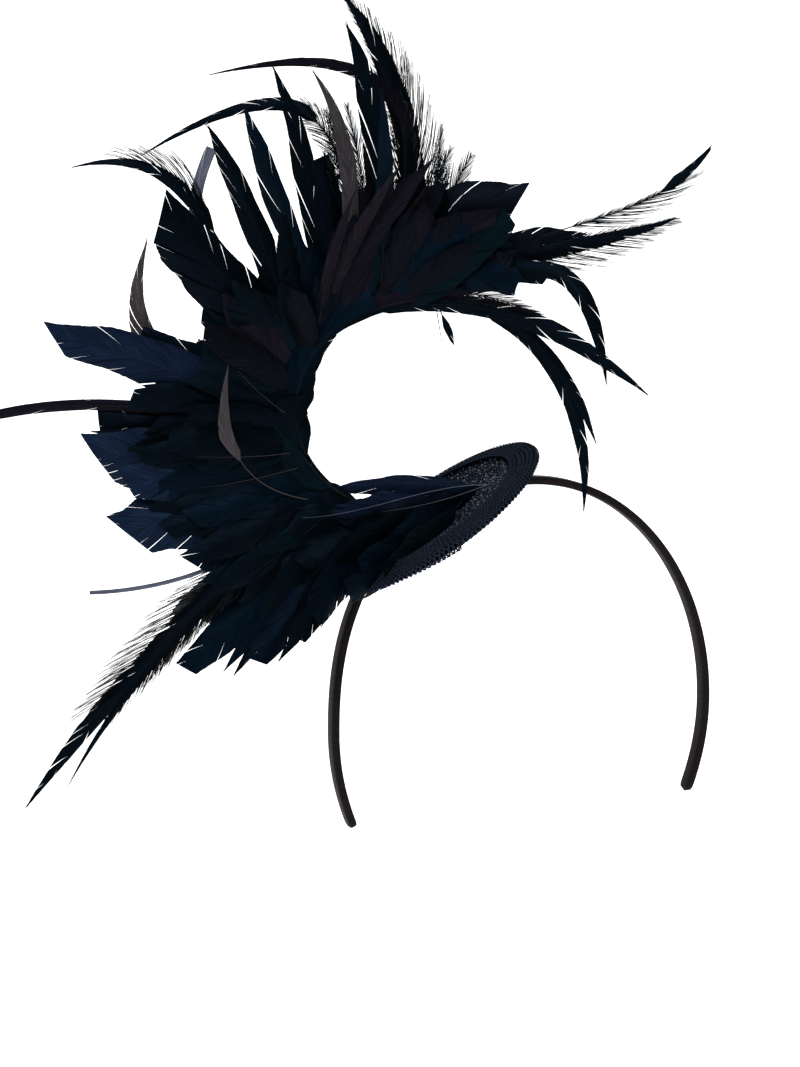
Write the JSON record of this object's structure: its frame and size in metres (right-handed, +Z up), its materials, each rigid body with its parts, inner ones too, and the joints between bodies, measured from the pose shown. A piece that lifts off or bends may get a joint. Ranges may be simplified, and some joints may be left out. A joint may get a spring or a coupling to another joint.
{
  "type": "feather fascinator",
  "caption": "Narrow covered headband with a dished, bound sinamay base and a C-shaped plume of dark goose and coque feathers that sweeps up over one side.",
  "frame": {"origin": "underside of the headband's crown, where the band sits on the top of the head", "axes": "+Z up out of the head, the band stands in the XZ plane, the wearer faces -Y and the plume is on the wearer's right, -X"},
  "size_m": [0.2888, 0.1308, 0.3263],
  "materials": {
    "band_cloth": "dark brown-black woven cloth, soft sheen",
    "sinamay": "navy-black open plain weave of stiff glossy straw threads",
    "bias_sinamay": "navy-black weave cut on the bias, threads at forty five degrees",
    "feather": "near-black dyed feather with navy, green and brown tints and a silky sheen"
  },
  "bodies": {
    "root": {"headband": "band_cloth", "sinamay_base": "sinamay", "rim_binding": "bias_sinamay", "lower_spray": "feather", "upper_spray": "feather"}
  },
  "joints": []
}
